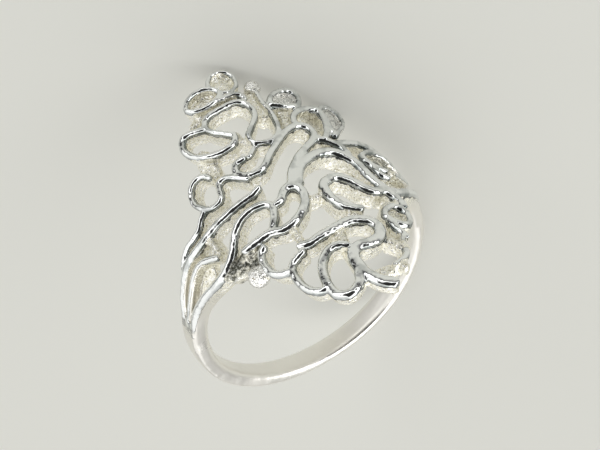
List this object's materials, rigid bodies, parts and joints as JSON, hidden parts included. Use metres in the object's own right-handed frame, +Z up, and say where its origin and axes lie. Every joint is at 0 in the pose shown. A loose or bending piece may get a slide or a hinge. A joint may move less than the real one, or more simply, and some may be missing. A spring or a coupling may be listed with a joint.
{
  "type": "openwork finger ring",
  "caption": "Cast silver finger ring with a pointed openwork head of curling strands, scooped cups and round drops, on a plain narrow band.",
  "frame": {"origin": "centre of the bounding box's bottom, on the surface the ring lies on", "axes": "+Z up from the surface; the openwork head is on the +Y side, and the finger axis leans 45 degrees from +Z towards +X"},
  "size_m": [0.0188, 0.0224, 0.0189],
  "materials": {
    "silver": "cast sterling silver: polished strand crests and band, matte sandy cream walls and cup floors"
  },
  "bodies": {
    "root": {"ring": "silver"}
  },
  "joints": []
}
